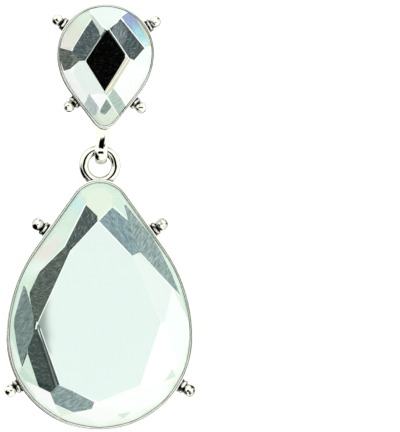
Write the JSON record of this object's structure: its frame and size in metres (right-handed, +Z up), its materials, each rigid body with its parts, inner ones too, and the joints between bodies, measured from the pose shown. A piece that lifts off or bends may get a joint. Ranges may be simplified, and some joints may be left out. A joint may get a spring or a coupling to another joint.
{
  "type": "teardrop drop earring",
  "caption": "Pierced-ear drop earring: a small faceted teardrop stud in a pronged metal setting, with a larger faceted teardrop hanging from it by a ring.",
  "frame": {"origin": "on the flat back of the stud's setting, where the ear post leaves it, at the middle of the stud's round end", "axes": "+Z up the hanging earring, -Y out of the jewel's front, +Y along the ear post, +X to the right seen from the front"},
  "size_m": [0.0191, 0.0154, 0.0426],
  "materials": {
    "plated_metal": "bright polished silver plate",
    "top_glass": "polished, foiled behind, rainbow coated",
    "drop_glass": "polished, foiled behind, pale mint"
  },
  "bodies": {
    "stud": {"top_setting": "plated_metal", "top_stone": "top_glass", "ear_post": "plated_metal"},
    "drop": {"drop_setting": "plated_metal", "drop_stone": "drop_glass"}
  },
  "joints": [
    {"name": "drop_swing", "type": "hinge", "parent": "stud", "child": "drop", "pos_m": [-0.00061, -0.0014, -0.00965], "axis": [1, 0, 0], "range_deg": [-80, 80]}
  ]
}
